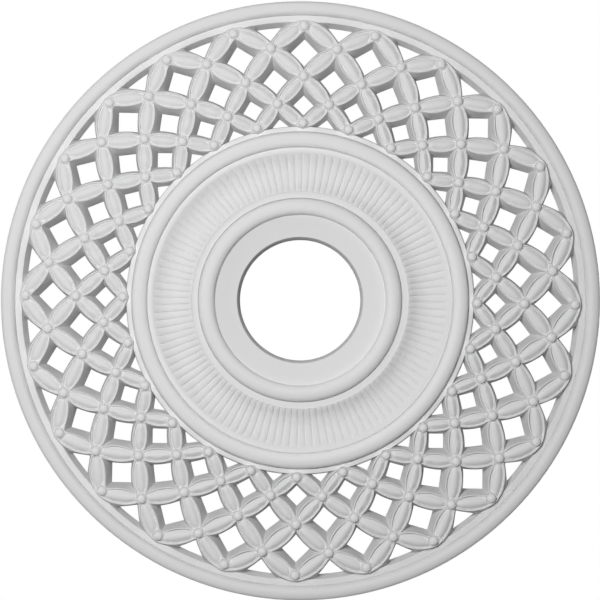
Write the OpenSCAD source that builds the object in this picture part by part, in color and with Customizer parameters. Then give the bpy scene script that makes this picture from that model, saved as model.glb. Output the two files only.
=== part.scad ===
// Pierced ceiling rose, moulded in one piece: a round outer moulding, a lattice of petals with a
// bead at every crossing, and a stepped boss round the centre hole.
// The flat back lies on the ceiling at z = 0 and the ornament faces down, towards -z.
// Heights are measured from the ceiling towards the room.

/* [Outer moulding] */
// Diameter over the whole rose
rose_d = 565; // [520:5:680]
// Width of the round moulding at the edge
rim_round_w = 13.2; // [10:0.2:16]
// Width of the flat band inside the round moulding
rim_band_w = 6.1; // [4:0.1:8]
// Height of the flat band below the ceiling
rim_band_h = 18; // [14:0.5:22]

/* [Lattice] */
// Number of beads round each ring
bays = 24; // [18:2:32]
// Height of the raised lips of the petals
lip_h = 24; // [22:0.5:28]
// Width of the raised lip round a petal
lip_w = 1.9; // [1.4:0.1:3]
// Depth of the groove beside the middle of a pillow
groove_d = 1.6; // [1:0.1:2.5]
// Width of a pillow as a share of its length
pillow_share = 0.29; // [0.2:0.01:0.32]
// How far the crown of a pillow lies below the lips
crown_drop = 0.3; // [0.2:0.1:0.8]
// Diameter of a bead
bead_d = 9; // [7:0.2:11]
// Least width of the foot left round a bead
bead_foot_w = 0.6; // [0.4:0.1:1]
// Gap between a bead and the end of a pillow
pillow_gap = 1.4; // [1.2:0.1:2.4]
// Thickness of the web behind the petals
web_h = 8; // [5:0.5:12]
// Width of a hole in the web as a share of the bead spacing
web_hole_share = 0.41; // [0.3:0.01:0.46]

/* [Boss] */
// Diameter of the boss where the lattice meets it
boss_d = 326.4; // [290:1:340]
// Height of the flat bands of the boss
boss_band_h = 20; // [17:0.5:21]
// Width of the boss's outermost flat band
boss_band_w = 4.2; // [3:0.1:6]
// Width of the outer round moulding on the boss
outer_round_w = 15.4; // [12:0.2:18]
// Width of the flat band inside that moulding
inner_band_w = 4.6; // [3:0.1:6]

/* [Reeded cove] */
// Number of reeds
reeds = 116; // [90:2:124]
// Depth of the cove below its edges
cove_depth = 6.5; // [5:0.5:8]
// Small step from the flat bands down to the cove's edge
cove_step = 1.5; // [0.5:0.1:2.5]
// Depth of the valleys between the reeds
valley_d = 1; // [0.6:0.1:1.4]
// Width of the flat band between the cove and the moulding round the seat
cove_band_w = 7.6; // [4:0.2:10]

/* [Canopy seat and centre hole] */
// Diameter of the centre hole
hole_d = 115; // [90:1:125]
// Rounding of the hole's lower edge
hole_round = 2.3; // [1:0.1:4]
// Diameter of the flat seat for a lamp's canopy
seat_d = 160; // [150:1:170]
// Height of the seat below the ceiling
seat_h = 14; // [11:0.5:17]
// Width of the round moulding that frames the seat
seat_round_w = 15.4; // [12:0.2:18]
// Height of the upright foot of that moulding
seat_round_lift = 2; // [1:0.5:4]

/* [Hidden] */

$fn = 48;
turned_fn = 200;                   // facets of the large turned surfaces
rooted = 0.5;                      // how deep one form is rooted in the next
past = 1;                          // how far a cut runs past the face it opens
pitch = 360 / bays;
rose_r = rose_d / 2;
rim_in_r = rose_r - rim_round_w - rim_band_w;
boss_r = boss_d / 2;
hole_r = hole_d / 2;
seat_r = seat_d / 2;
bead_r = bead_d / 2;

// The petals' axes meet in five rings of nodes, from the rim's edge to the boss's edge. A share
// of 1 is the rim, a share of 0 is the boss, and the steps shrink with the radius.
last_ring = 4;
node_share = [1, 0.796, 0.536, 0.27, 0];
node_r = [for (share = node_share) boss_r * pow(rim_in_r / boss_r, share)];

// A bead sits on every node, but those of the end rings stand clear of the rim and over the
// boss's edge
bead_lap = 0.25;                   // share of its radius that a last bead laps over the boss
bead_ring_r = [
    for (ring = [0:last_ring])
        ring == 0 ? rim_in_r - rooted - bead_r
        : ring == last_ring ? boss_r + (1 - bead_lap) * bead_r
        : node_r[ring]
];
bead_stem_h = max(bead_r, lip_h - boss_band_h + rooted);

// Draft of the openings' walls at the rim and at the boss, as a widening per height
rim_draft = 0.08;
boss_draft = 0.2;

outer_round_r = boss_r - boss_band_w - outer_round_w / 2;
inner_band_r = outer_round_r - outer_round_w / 2 - inner_band_w;
seat_round_r = seat_r + seat_round_w / 2;
seat_round_h = seat_h + seat_round_lift;

// The cove fills the room that is left between the mouldings, and a narrow one is made shallower
cove_steepness = 0.25;             // greatest depth of the cove as a share of its width
cove_w = inner_band_r - cove_band_w - seat_round_w - seat_r;
cove_r = inner_band_r - cove_w / 2;
cove_dip = min(cove_depth, cove_w * cove_steepness);
cove_edge_h = boss_band_h - cove_step;
cove_arc_r = arc_r(cove_w / 2, cove_dip);
cove_arc_h = cove_edge_h - cove_dip + cove_arc_r;
cove_half_angle = asin(cove_w / 2 / cove_arc_r);
valley_reach = 0.97;               // share of the cove's arc that a valley runs along

// Radius of an arc from half its chord and its rise
function arc_r(half_chord, rise) = (half_chord * half_chord + rise * rise) / (2 * rise);

// Every second ring is turned by half a pitch
function ring_turn(ring, k) = (k + (ring % 2) / 2) * pitch;
function polar(r, angle) = [r * cos(angle), r * sin(angle)];
function node_at(ring, k) = polar(node_r[ring], ring_turn(ring, k));
function bead_at(ring, k) = polar(bead_ring_r[ring], ring_turn(ring, k));

// Moves a form from the origin to the line from p to q, with its x axis along the line
module along(p, q) {
    translate([(p[0] + q[0]) / 2, (p[1] + q[1]) / 2, 0])
        rotate([0, 0, atan2(q[1] - p[1], q[0] - p[0])])
            children();
}

// A pointed oval with its tips on the x axis
module pointed_oval(half_length, half_width) {
    r = arc_r(half_length, half_width);
    intersection() {
        translate([0, half_width - r]) circle(r = r);
        translate([0, r - half_width]) circle(r = r);
    }
}

// The side of a petal that bulges to the left of the line from node p to node q
module petal_side(p, q) {
    half_length = norm(q - p) / 2;
    half_width = half_length * pillow_share;
    r = arc_r(half_length, half_width);
    along(p, q) translate([0, half_width - r]) circle(r = r + lip_w);
}

// The mouth of an opening between nodes k and k + 1 of a ring. Its other two corners are nodes
// of the next rings, but at the rim and at the boss it runs on to their walls.
module mouth_plan(ring, k) {
    left = node_at(ring, k);
    right = node_at(ring, k + 1);
    next_k = k + ring % 2;
    outer = ring > 0 ? [node_at(ring - 1, next_k)]
                     : [polar(rose_r, ring_turn(ring, k)), polar(rose_r, ring_turn(ring, k + 1))];
    inner = ring < last_ring ? [node_at(ring + 1, next_k)]
                             : [polar(hole_r, ring_turn(ring, k + 1)), polar(hole_r, ring_turn(ring, k))];
    difference() {
        intersection() {
            polygon([left, each outer, right, each inner]);
            if (ring == 0) circle(r = rim_in_r);
        }
        if (ring == last_ring) circle(r = boss_r);
        if (ring > 0) {
            petal_side(left, outer[0]);
            petal_side(outer[0], right);
            bead_foot(ring - 1, next_k);
        }
        if (ring < last_ring) {
            petal_side(inner[0], left);
            petal_side(right, inner[0]);
            bead_foot(ring + 1, next_k);
        }
        bead_foot(ring, k);
        bead_foot(ring, k + 1);
    }
}

module bead_foot(ring, k) {
    translate(bead_at(ring, k)) circle(r = bead_r + bead_foot_w);
}

// The same opening at the ceiling: a square set on its corner
module hole_plan(ring, k) {
    side = node_r[ring] * sin(pitch / 2) * web_hole_share * sqrt(2);
    difference() {
        intersection() {
            rotate(ring_turn(ring, k + 0.5))
                translate([node_r[ring], 0]) rotate(45) square(side, center = true);
            if (ring == 0) circle(r = rim_in_r - rim_band_h * rim_draft);
        }
        if (ring == last_ring) circle(r = boss_r + boss_band_h * boss_draft);
    }
}

module opening(ring, k) {
    translate([0, 0, web_h]) linear_extrude(height = lip_h) mouth_plan(ring, k);
    translate([0, 0, -past]) linear_extrude(height = web_h + 2 * past) hole_plan(ring, k);
}

// What is sunk between the lips of a petal, over the rounded crown of its pillow. The petal runs
// from node k of a ring to one of the two nearest nodes of the next ring.
module pillow_top(ring, k, next_k) {
    p = node_at(ring, k);
    q = node_at(ring + 1, next_k);
    half_length = norm(q - p) / 2;
    half_width = half_length * pillow_share;
    crown_r = arc_r(half_width, groove_d - crown_drop);
    difference() {
        translate([0, 0, lip_h - groove_d - rooted])
            linear_extrude(height = groove_d + rooted + past)
                difference() {
                    along(p, q) pointed_oval(half_length, half_width);
                    translate(bead_at(ring, k)) circle(r = bead_r + pillow_gap);
                    translate(bead_at(ring + 1, next_k)) circle(r = bead_r + pillow_gap);
                }
        translate([0, 0, lip_h - crown_drop - crown_r])
            along(p, q)
                rotate([0, 90, 0]) cylinder(r = crown_r, h = 2 * half_length, center = true);
    }
}

// A bead on the stem that roots it in the lattice
module bead() {
    rotate_extrude()
        union() {
            intersection() {
                circle(r = bead_r);
                square(bead_r);
            }
            translate([0, -bead_stem_h]) square([bead_r, bead_stem_h]);
        }
}

module rim_profile() {
    translate([rim_in_r - 2 * rooted, 0]) square([rose_r - rim_in_r + 2 * rooted, rim_band_h]);
    translate([rose_r - rim_round_w / 2, rim_band_h]) circle(r = rim_round_w / 2);
}

module lattice_profile() {
    inner_r = boss_r + rooted;
    translate([inner_r, 0]) square([rim_in_r - rooted / 2 - inner_r, lip_h]);
}

module boss_profile() {
    difference() {
        union() {
            polygon([
                [hole_r, 0],
                [boss_r + 2 * rooted, 0],
                [boss_r + 2 * rooted, boss_band_h],
                [inner_band_r, boss_band_h],
                [inner_band_r, cove_edge_h],
                [seat_round_r, cove_edge_h],
                [seat_round_r, seat_round_h],
                [seat_r, seat_round_h],
                [seat_r, seat_h],
                [hole_r, seat_h]
            ]);
            translate([outer_round_r, boss_band_h]) circle(r = outer_round_w / 2);
            translate([seat_round_r, seat_round_h]) circle(r = seat_round_w / 2);
        }
        translate([cove_r, cove_arc_h]) circle(r = cove_arc_r, $fn = turned_fn);
        translate([hole_r, seat_h - hole_round]) hole_edge();
    }
}

// What the rounding takes off the hole's lower edge
module hole_edge() {
    difference() {
        translate([-past, 0]) square([hole_round + past, hole_round + past]);
        translate([hole_round, 0]) circle(r = hole_round);
    }
}

// The valley between two reeds, bent to the cove's own curve
module valley() {
    translate([cove_r, 0, cove_arc_h])
        rotate([90, 0, 0])
            rotate([0, 0, -90 - cove_half_angle * valley_reach])
                rotate_extrude(angle = 2 * cove_half_angle * valley_reach)
                    translate([cove_arc_r, 0]) circle(r = valley_d);
}

module ceiling_rose() {
    color("whitesmoke")
        rotate([180, 0, 0]) {
            difference() {
                rotate_extrude($fn = turned_fn) {
                    rim_profile();
                    lattice_profile();
                    boss_profile();
                }
                for (ring = [0:last_ring], k = [0:bays - 1]) opening(ring, k);
                for (ring = [0:last_ring - 1], k = [0:bays - 1], side = [0, 1])
                    pillow_top(ring, k, k - 1 + ring % 2 + side);
                for (k = [0:reeds - 1])
                    rotate([0, 0, (k + 0.5) * 360 / reeds]) valley();
            }
            for (ring = [0:last_ring], k = [0:bays - 1])
                translate([each bead_at(ring, k), lip_h - rooted]) bead();
        }
}

ceiling_rose();
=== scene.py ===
from cmath import phase, rect
from math import cos, pi, radians, sin, sqrt

import bmesh
import bpy
import numpy as np
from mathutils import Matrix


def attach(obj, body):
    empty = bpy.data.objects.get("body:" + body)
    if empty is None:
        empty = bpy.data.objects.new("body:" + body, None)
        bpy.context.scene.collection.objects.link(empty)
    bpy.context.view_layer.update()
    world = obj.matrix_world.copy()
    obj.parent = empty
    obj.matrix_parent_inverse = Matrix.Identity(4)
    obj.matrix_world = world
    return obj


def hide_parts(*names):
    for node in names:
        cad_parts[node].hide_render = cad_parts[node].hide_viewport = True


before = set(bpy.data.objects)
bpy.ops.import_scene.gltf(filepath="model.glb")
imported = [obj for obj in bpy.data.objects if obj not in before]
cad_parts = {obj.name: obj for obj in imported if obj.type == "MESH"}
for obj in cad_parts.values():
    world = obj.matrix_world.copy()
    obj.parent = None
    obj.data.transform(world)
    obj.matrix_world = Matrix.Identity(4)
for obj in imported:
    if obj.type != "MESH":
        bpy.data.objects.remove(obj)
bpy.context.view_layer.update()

# ---- Lattice -------------------------------------------------------------------------------
# The pierced ring between the outer moulding and the boss: petals with a bead at every crossing,
# moulded in one with the rest in rigid urethane foam. The openings narrow towards the ceiling to
# squares set on their corners, so that the rose leaves its mould.

# Sizes are in millimetres. A place in plan is a complex number, and heights are measured from
# the ceiling down.
bays = 24
node_r = (262.2, 238.75, 210.85, 185.68, 164.2)         # where the petals' axes meet, ring by ring
bead_ring_r = (258.2, 238.75, 210.85, 185.68, 166.6)
hole_ring_r = (264.0, 236.6, 210.2, 186.4, 164.6)       # middles of the square holes at the back
hole_half = (15.4, 13.3, 11.8, 9.7, 9.6)                # their half diagonals
last_ring = 4
rim_tab_r, boss_tab_r = 267.0, 160.0                    # the lattice's roots in both rings
lip_h, lip_w = 24.0, 1.75
lip_edge_drop, corner_drop = 1.0, 0.4                   # below its top, at its edge and corners
pillow_share = 0.3                                      # a pillow's width as a share of its length
groove_d, end_groove_d = 3.7, 1.5
lip_across = np.array([0, 0.14, 0.42, 0.68, 1])         # columns across a lip, as shares
lip_drop = np.array([lip_edge_drop, 0.3, 0, 0.4, groove_d])
crown = 1.3                                             # how far a pillow stands above the lips
bead_r, bead_mid_h, bead_foot_h = 4.5, 23.45, 22.3
dome_angles = (pi / 2, 1.05, 0.5)                       # rows up the dome of a bead, from its top
corner_gap = 0.6                                        # least gap from a bead's foot to a corner
collar_r, collar_h, pillow_end_r = 5.2, 23.5, 5.9       # the collar round a bead, then pillows
wall_depth = np.array([0, 0.05, 0.14, 0.28, 0.5, 1])    # rows down a wall, as shares
wall_curve = 2.2                                        # above 1, a wall leans most at its front
end_power = 6                                           # how fast an end's bend dies out
faces_along, faces_across = 12, 6

lattice = []                                            # (plan places, heights) of every sheet


def polar(r, turn):
    """A place at radius r, turned by so many bead spacings."""
    return rect(r, turn * 2 * pi / bays)


def stagger(ring):
    """Every other ring of beads is turned by half a spacing."""
    return (ring % 2) / 2


def mirror(place, turn):
    """A place on the other side of the radius at that turn."""
    return np.conj(place / polar(1, turn)) * polar(1, turn)


def petal_arc(ring, side, offset=0):
    """Centre and radius of one side of the petal from bead 0 of a ring to the next ring out."""
    start = polar(node_r[ring], stagger(ring))
    end = polar(node_r[ring - 1], stagger(ring) + 0.5)
    half = abs(end - start) / 2
    rise = half * pillow_share
    r = (half * half + rise * rise) / (2 * rise)
    return (start + end) / 2 + 1j * side * (end - start) / (2 * half) * (rise - r), r + offset


def turned_back(arc, turn):
    """The same arc, with the radius at that turn brought to turn 0."""
    return arc[0] / polar(1, turn), arc[1]


def crossing(arc_a, arc_b, near):
    """Where two arcs cross, at the crossing nearest to a place."""
    gap = arc_b[0] - arc_a[0]
    x = (abs(gap) ** 2 + arc_a[1] ** 2 - arc_b[1] ** 2) / (2 * abs(gap))
    y = sqrt(max(arc_a[1] ** 2 - x * x, 0))
    both = [arc_a[0] + gap / abs(gap) * complex(x, s * y) for s in (-1, 1)]
    return min(both, key=lambda place: abs(place - near))


def corner(arc_a, arc_b, bead, towards):
    """The corner between two petals beside a bead, always clear of the bead's foot."""
    towards = towards / abs(towards)
    place = crossing(arc_a, arc_b, bead + 2 * bead_r * towards)
    clear = bead_r + corner_gap
    return place if ((place - bead) / towards).real > clear else bead + clear * towards


def out_corner(ring):
    """Outward of a bead at turn 0. Ring 0 has no petals outward, so its own two close round it."""
    if ring:
        arc = turned_back(petal_arc(ring, -1, lip_w), stagger(ring))
    else:
        arc = turned_back(petal_arc(1, -1, lip_w), stagger(1) + 0.5)
    return corner(arc, (mirror(arc[0], 0), arc[1]), polar(bead_ring_r[ring], 0), 1)


def in_corner(ring):
    """Inward of a bead at turn 0. The last ring's own two petals close round it."""
    if ring < last_ring:
        arc = turned_back(petal_arc(ring + 1, 1, lip_w), stagger(ring + 1) + 0.5)
    else:
        arc = turned_back(petal_arc(ring, 1, lip_w), stagger(ring))
    return corner(arc, (mirror(arc[0], 0), arc[1]), polar(bead_ring_r[ring], 0), -1)


def side_corner(ring):
    """Beside a bead at turn 0, towards the next bead of its ring."""
    bead = polar(bead_ring_r[ring], 0)
    outer = turned_back(petal_arc(ring, 1, lip_w), stagger(ring))
    inner = turned_back(petal_arc(ring + 1, -1, lip_w), stagger(ring + 1))
    inner = (mirror(inner[0], 0) * polar(1, 0.5), inner[1])
    return corner(outer, inner, bead, polar(hole_ring_r[ring], 0.5) - bead)


def along_arc(arc, start, end, shares):
    """Places along the short way of an arc."""
    first = phase(start - arc[0])
    sweep = (phase(end - arc[0]) - first + pi) % (2 * pi) - pi
    return arc[0] + arc[1] * np.exp(1j * (first + sweep * shares))


def blended(inside, ends):
    """Bends a sheet so that its first and last rows become the given ones."""
    u = np.linspace(0, 1, len(inside))[:, None]
    return (inside + (1 - u) ** end_power * (ends[0] - inside[0])
            + u ** end_power * (ends[1] - inside[-1]))


def add_sheet(plan, height, turn):
    """Adds a sheet and its mirror image, all round the rose."""
    height = np.broadcast_to(height, plan.shape)
    for k in range(bays):
        lattice.append((plan * polar(1, k), height))
        lattice.append((mirror(plan, turn) * polar(1, k), height))


even = np.linspace(0, 1, faces_along + 1)
shares = (even + (1 - np.cos(pi * even)) / 2) / 2       # rows along a petal, closer at its ends
crossways = (1 - np.cos(np.linspace(0, pi, faces_across + 1))) / 2

for ring in range(1, last_ring + 1):
    turn = stagger(ring)
    bead = {"inner": polar(bead_ring_r[ring], turn),
            "outer": polar(bead_ring_r[ring - 1], turn + 0.5)}
    middle = (bead["inner"] + bead["outer"]) / 2
    corners = {
        ("inner", 1): (side_corner(ring) if ring < last_ring else in_corner(ring)) * polar(1, turn),
        ("inner", -1): out_corner(ring) * polar(1, turn),
        ("outer", 1): in_corner(ring - 1) * polar(1, turn + 0.5),
        ("outer", -1): (mirror(side_corner(ring - 1), 0) if ring > 1 else out_corner(0))
        * polar(1, turn + 0.5),
    }
    # The square holes at the back on both sides of the petal
    holes = {
        1: [polar(1, turn + 0.5) * (hole_ring_r[ring] + hole_half[ring] * d) for d in (-1j, 1)],
        -1: [polar(1, turn) * (hole_ring_r[ring - 1] + hole_half[ring - 1] * d) for d in (-1, 1j)],
    }
    if ring == last_ring:
        holes[1].insert(0, polar(boss_tab_r, turn))
    if ring == 1:
        holes[-1].append(polar(rim_tab_r, turn + 0.5))

    # Dome of the bead at each end and the collar round it, from one corner to the other
    around, grooves, backs = {}, {}, {}
    for end in bead:
        axis = middle - bead[end]
        unit = axis / abs(axis)
        tips = [crossing(petal_arc(ring, side), (bead[end], pillow_end_r), middle)
                for side in (1, -1)]
        foot, tip = (np.linspace(*(phase((place - bead[end]) / axis) for place in pair),
                                 faces_across + 1)
                     for pair in ((corners[end, 1], corners[end, -1]), tips))
        rows = [bead[end] + bead_r * cos(a) * unit * np.exp(1j * foot) for a in dome_angles]
        heights = [bead_mid_h + bead_r * sin(a) for a in dome_angles]
        around[end] = [bead[end] + r * unit * np.exp(1j * angle) for r, angle in
                       ((bead_r, foot), (collar_r, (foot + tip) / 2), (pillow_end_r, tip))]
        heights += [bead_foot_h, collar_h, lip_h - end_groove_d]
        add_sheet(np.array(rows + around[end]), np.array(heights)[:, None], turn)

    for side, column in ((1, 0), (-1, -1)):
        # Outline and groove of this side
        outline_arc = petal_arc(ring, side, lip_w)
        start, stop = corners["inner", side], corners["outer", side]
        on_arc = [outline_arc[0] + (p - outline_arc[0]) / abs(p - outline_arc[0]) * outline_arc[1]
                  for p in (start, stop)]
        outline = along_arc(outline_arc, *on_arc, shares)
        outline = blended(outline[:, None], ([start], [stop]))
        grooves[side] = along_arc(petal_arc(ring, side), around["inner"][2][column],
                                  around["outer"][2][column], shares)[:, None]
        # The lip between them
        ends = []
        for end in bead:
            foot, collar, tip = (row[column] for row in around[end])
            edge = corners[end, side]
            ends.append(np.array([edge, (edge + foot) / 2, foot, collar, tip]))
        end_height = np.array([lip_h - lip_edge_drop, lip_h - corner_drop, bead_foot_h, collar_h,
                               lip_h - end_groove_d])
        lip_height = blended(np.tile(lip_h - lip_drop, (len(outline), 1)), [end_height] * 2)
        add_sheet(blended(outline + (grooves[side] - outline) * lip_across, ends), lip_height,
                  turn)
        # The wall of the opening, down to the straight side of its hole
        hole = holes[side]
        legs = np.abs(np.diff(hole))
        marks = np.concatenate([[0], np.cumsum(legs)]) / legs.sum()
        back = np.interp(shares, marks, hole)
        for k in range(1, len(hole) - 1):               # the nearest row moves onto a corner
            back[np.argmin(abs(shares - marks[k]))] = hole[k]
        backs[side] = back
        leaning = 1 - (1 - wall_depth) ** wall_curve
        add_sheet(outline + (back[:, None] - outline) * leaning,
                  (lip_h - lip_edge_drop) * (1 - wall_depth), turn)

    # The pillow, crowned between its two grooves
    plan = blended(grooves[1] + (grooves[-1] - grooves[1]) * crossways,
                   (around["inner"][2], around["outer"][2]))
    along = 2 * shares[:, None] - 1
    across = 2 * crossways - 1
    side_height = lip_height[:, -1:]
    crown_height = lip_h - end_groove_d + (end_groove_d + crown) * (1 - along ** end_power)
    add_sheet(plan, side_height + (crown_height - side_height) * (1 - across ** 2), turn)

    # The flat back behind the petal, and behind the bead between four petals
    add_sheet(np.array([backs[1], backs[-1]]), 0, turn)
    if ring < last_ring:
        outer_tip = hole_ring_r[ring - 1] - hole_half[ring - 1]
        add_sheet(polar(1, turn) * np.array([
            [outer_tip, polar(1, 0.5) * (hole_ring_r[ring] - 1j * hole_half[ring])],
            [outer_tip, hole_ring_r[ring + 1] + hole_half[ring + 1]]]), 0, turn)


weld_gap, sliver = 4e-6, 1e-7                           # in metres


def solid(name, sheets, fans=()):
    """A closed mesh of sheets and single faces, both as (plan places, heights), welded."""
    places, faces = [], []
    first = 0
    for plan, height in sheets:
        rows, columns = plan.shape
        places.append(np.stack([plan.real, plan.imag, -height], axis=-1).reshape(-1, 3) / 1000)
        index = first + np.arange(rows * columns).reshape(rows, columns)
        faces += np.stack([index[:-1, :-1], index[:-1, 1:], index[1:, 1:], index[1:, :-1]],
                          axis=-1).reshape(-1, 4).tolist()
        first += rows * columns
    for plan, height in fans:
        places.append(np.stack([plan.real, plan.imag, -height], axis=-1) / 1000)
        faces.append(list(range(first, first + len(plan))))
        first += len(plan)
    mesh = bpy.data.meshes.new(name)
    mesh.from_pydata(np.concatenate(places).tolist(), [], faces)
    shape = bmesh.new()
    shape.from_mesh(mesh)
    bmesh.ops.remove_doubles(shape, verts=shape.verts, dist=weld_gap)
    bmesh.ops.dissolve_degenerate(shape, edges=shape.edges, dist=sliver)
    bmesh.ops.recalc_face_normals(shape, faces=shape.faces)
    shape.to_mesh(mesh)
    shape.free()
    piece = bpy.data.objects.new(name, mesh)
    bpy.context.scene.collection.objects.link(piece)
    return piece


rose = solid("ceiling_rose_moulding", lattice)

# ---- Outer moulding ------------------------------------------------------------------------
# The turned edge of the rose: a half-round moulding, a thin quirk and a flat band, moulded with
# the lattice. Its inner side is drafted so that it leaves the mould.

rim_r, rim_back_in_r = 282.4, 261.7
rim_band_h = 18.0
rim_round_r, rim_round_size = 275.8, 6.6
rim_facets, rim_round_points = 192, 15


def turned(profile, turns):
    """A sheet turned round the axis from (radius, height) pairs, at shares of a full turn."""
    r, height = np.array(profile).T[:, :, None]
    plan = r * np.exp(2j * pi * turns)
    return plan, np.broadcast_to(height, plan.shape)


def half_round(middle_r, middle_h, size, count):
    """From the outside inwards over a round moulding."""
    return [(middle_r + size * cos(a), middle_h + size * sin(a)) for a in np.linspace(0, pi, count)]


rim = solid("rim", [turned(
    [(rim_back_in_r, 0), (rim_r, 0)]
    + half_round(rim_round_r, rim_band_h, rim_round_size, rim_round_points)
    + [(269.2, 17.3), (268.95, 17.9), (268.75, rim_band_h), (263.6, rim_band_h), (263.3, 17.85),
       (263.15, 17.5), (263.05, 16.8), (262.1, 9), (rim_back_in_r, 0)],
    np.arange(rim_facets + 1) / rim_facets)])

# ---- Boss ----------------------------------------------------------------------------------
# The raised middle, also moulded with the rest: a half-round moulding between two flat bands, a
# reeded cove, a second moulding and the flat seat round the centre hole, on which the lamp's
# canopy lies.

hole_r, seat_h = 57.5, 14.0
boss_r, boss_band_h = 166.6, 20.0
outer_round_r, outer_round_size = 151.6, 7.4
seat_round_r, seat_round_h, seat_round_size = 88.65, 16.0, 7.75
boss_round_points = 13
cove_r, cove_in_r, cove_out_r, cove_edge_h, cove_dip = 120.55, 102.5, 138.6, 18.7, 7.4
cove_half = (cove_out_r - cove_in_r) / 2
cove_arc_r = (cove_half ** 2 + cove_dip ** 2) / (2 * cove_dip)
cove_arc_h = cove_edge_h - cove_dip + cove_arc_r
reeds, reed_rise = 116, 1.45
reed_end_w = 2.8                                        # rounding of a reed's inner end
reed_share = np.array([-0.5, -0.43, -0.25, 0, 0.25, 0.43])  # columns across a reed
fine_per_coarse = 3                                     # the cove's columns to one of a plain part

fine_turns = (np.arange(reeds)[:, None] + reed_share + 0.5).ravel() / reeds
fine_turns = np.append(fine_turns, 1)
coarse_turns = fine_turns[::fine_per_coarse]
outer_part = turned(
    [(hole_r, 0), (boss_r, 0), (163.7, 18.9), (163.5, 19.6), (163.3, 19.9), (162.9, boss_band_h),
     (159.2, boss_band_h), (159.05, 19.3)]
    + half_round(outer_round_r, boss_band_h, outer_round_size, boss_round_points)
    + [(144.1, 19.3), (143.8, 20.3), (143.5, 20.5), (139.4, 20.5), (139.0, 20.2)], coarse_turns)
inner_part = turned(
    [(102.3, 18.3), (102.0, 18.0), (98.1, 18.0), (96.6, 17.9), (96.45, 17.3)]
    + half_round(seat_round_r, seat_round_h, seat_round_size, boss_round_points)
    + [(80.9, 14.3), (80.6, seat_h), (60.2, seat_h), (59.85, 13.85), (59.65, 13.4), (57.6, 7.8),
       (hole_r, 7.2), (hole_r, 0)], coarse_turns)

row_r = np.array([cove_in_r, 102.8, 103.6, 104.5, 105.5, 108.5, 112.5, 117, 122, 127, 131.5, 135.5,
                  cove_out_r])
tilt = np.arcsin((row_r - cove_r) / cove_arc_r)[:, None]
into_end = np.clip((cove_in_r + reed_end_w - row_r) / reed_end_w, 0, 1)[:, None]
rise = reed_rise * np.sqrt(np.clip(1 - (2 * reed_share) ** 2 - into_end ** 2, 0, 1))
rise = np.tile(rise, reeds)
rise = np.append(rise, rise[:, :1], axis=1)
cove = ((cove_r + (cove_arc_r - rise) * np.sin(tilt)) * np.exp(2j * pi * fine_turns),
        cove_arc_h - (cove_arc_r - rise) * np.cos(tilt))

fans = []                                               # faces between the plain parts and the cove
for part, edge in ((outer_part, -1), (inner_part, 0)):
    for k in range(len(coarse_turns) - 1):
        fine = slice(fine_per_coarse * k, fine_per_coarse * (k + 1) + 1)
        fans.append([np.append(plain[edge, k:k + 2], reeded[edge, fine][::-1])
                     for plain, reeded in zip(part, cove)])
boss = solid("boss", [outer_part, inner_part, cove], fans)

# ---- The moulded rose ----------------------------------------------------------------------
# All of it leaves the mould in one piece, and is coated with a white primer. The coat is a little
# uneven in thickness and gloss, with a fine ripple and grain. The rose is glued and pinned to the
# ceiling through its flat bands.

sharpest_smooth = radians(50)                           # steeper edges stay sharp

for part in (rim, boss):
    union = rose.modifiers.new("moulded together", "BOOLEAN")
    union.operation = "UNION"
    union.solver = "MANIFOLD"
    union.object = part
with bpy.context.temp_override(object=rose, active_object=rose):
    for union in list(rose.modifiers):
        bpy.ops.object.modifier_apply(modifier=union.name)
for part in (rim, boss):
    bpy.data.meshes.remove(part.data)
rose.data.shade_smooth()
rose.data.set_sharp_from_angle(angle=sharpest_smooth)


class Strand:
    """A socket in a node tree. Sums on it add Math nodes, and add() adds any other node."""

    def __init__(self, tree, socket=None):
        self.tree, self.socket = tree, socket

    def add(self, kind, settings, sockets, output=0):
        """Adds a node from its type, its settings and its sockets' values or links."""
        node = self.tree.nodes.new("ShaderNode" + kind)
        for name, setting in settings.items():
            setattr(node, name, setting)
        for name, value in sockets.items():
            if isinstance(value, Strand):
                self.tree.links.new(value.socket, node.inputs[name])
            else:
                node.inputs[name].default_value = value
        return Strand(self.tree, node.outputs[output])

    def feed(self, socket):
        """Links this strand to a socket of a shader."""
        self.tree.links.new(self.socket, socket)

    def __add__(self, other):
        return self.add("Math", {"operation": "ADD"}, {0: self, 1: other})

    def __sub__(self, other):
        return self.add("Math", {"operation": "SUBTRACT"}, {0: self, 1: other})

    def __rsub__(self, other):
        return self.add("Math", {"operation": "SUBTRACT"}, {0: other, 1: self})

    def __mul__(self, other):
        return self.add("Math", {"operation": "MULTIPLY"}, {0: self, 1: other})

    __radd__, __rmul__ = __add__, __mul__


primer = bpy.data.materials.new("white primer")
primer.use_nodes = True
surface = primer.node_tree.nodes["Principled BSDF"].inputs
coat = Strand(primer.node_tree)
place = coat.add("TexCoord", {}, {}, "Object")
thickness = coat.add("TexNoise", {}, {"Vector": place, "Scale": 45, "Detail": 3}, "Fac")
ripple = coat.add("TexNoise", {}, {"Vector": place, "Scale": 260, "Detail": 2}, "Fac")
grain = coat.add("TexNoise", {}, {"Vector": place, "Scale": 1500, "Detail": 2}, "Fac")
thin_white, full_white = (0.64, 0.64, 0.64, 1), (0.67, 0.67, 0.67, 1)
least_roughness, roughness_range, grain_share = 0.16, 0.12, 0.12
# The colours of a Mix node go in at sockets 6 and 7, and the mixed one comes out at 2
coat.add("Mix", {"data_type": "RGBA"}, {0: thickness, 6: thin_white, 7: full_white},
         2).feed(surface["Base Color"])
(least_roughness + roughness_range * thickness).feed(surface["Roughness"])
coat.add("Bump", {}, {"Strength": 0.5, "Distance": 0.0003,
                      "Height": ripple + grain_share * grain}, "Normal").feed(surface["Normal"])
rose.data.materials.append(primer)
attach(rose, "root")
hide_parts("ceiling_rose")

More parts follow.
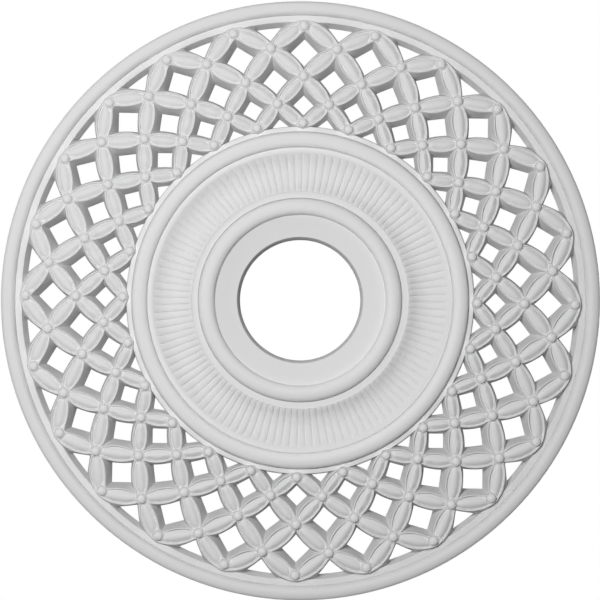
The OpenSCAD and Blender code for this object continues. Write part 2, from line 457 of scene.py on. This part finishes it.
# ---- Studio --------------------------------------------------------------------------------
# The rose hangs face down over a plain pale floor in a white room. One soft lamp below and to
# the side brings out the relief, and one above lights the back.

bpy.ops.mesh.primitive_circle_add(vertices=96, radius=4, fill_type="NGON", location=(0, 0, -2.4))
floor = bpy.context.object
floor.name = "studio_floor"
pale = bpy.data.materials.new("pale floor")
pale.use_nodes = True
pale_surface = pale.node_tree.nodes["Principled BSDF"].inputs
pale_surface["Base Color"].default_value = (0.8, 0.8, 0.8, 1)
pale_surface["Emission Color"].default_value = (1, 1, 1, 1)
pale_surface["Emission Strength"].default_value = 1
floor.data.materials.append(pale)
floor.visible_diffuse = False                           # it throws no light up at the rose
floor.visible_glossy = False

# The room looks white, but lights the rose from a band at the height of its edge
world = bpy.data.worlds.new("white room")
bpy.context.scene.world = world
world.use_nodes = True
background = world.node_tree.nodes["Background"].inputs
background["Color"].default_value = (1, 1, 1, 1)
room = Strand(world.node_tree)
seen = room.add("LightPath", {}, {}, "Is Camera Ray")
upward = room.add("SeparateXYZ", {}, {"Vector": room.add("TexCoord", {}, {}, "Generated")}, "Z")
steep = room.add("Math", {"operation": "ABSOLUTE"}, {0: upward})
glow = room.add("MapRange", {"interpolation_type": "SMOOTHSTEP"}, {
    "Value": steep, "From Min": 0.02, "From Max": 0.16, "To Min": 2.2, "To Max": 0.01})
(seen + (1 - seen) * glow).feed(background["Strength"])
bpy.context.scene.view_settings.view_transform = "Standard"

for name, spot, size, energy in (("softbox", (0.21, 0.15, -1.08), 0.34, 10.2),
                                 ("top_light", (0, 0, 1.4), 0.7, 20)):
    light = bpy.data.lights.new(name, "AREA")
    light.shape = "DISK"
    light.size = size
    light.energy = energy
    lamp = bpy.data.objects.new(name, light)
    lamp.location = spot
    lamp.rotation_euler = (-lamp.location).to_track_quat("-Z", "Y").to_euler()
    lamp.visible_camera = False
    bpy.context.scene.collection.objects.link(lamp)

# The camera looks up at the rose from just beside its axis, with a slight tilt and roll
camera_data = bpy.data.cameras.new("camera")
camera_data.lens = 82.7
camera_data.sensor_width = 36
camera = bpy.data.objects.new("camera", camera_data)
camera.location = (-0.01, -0.015, -1.318)
camera.rotation_euler = (0.0117, pi + 0.0075, radians(-1))
bpy.context.scene.collection.objects.link(camera)
bpy.context.scene.camera = camera
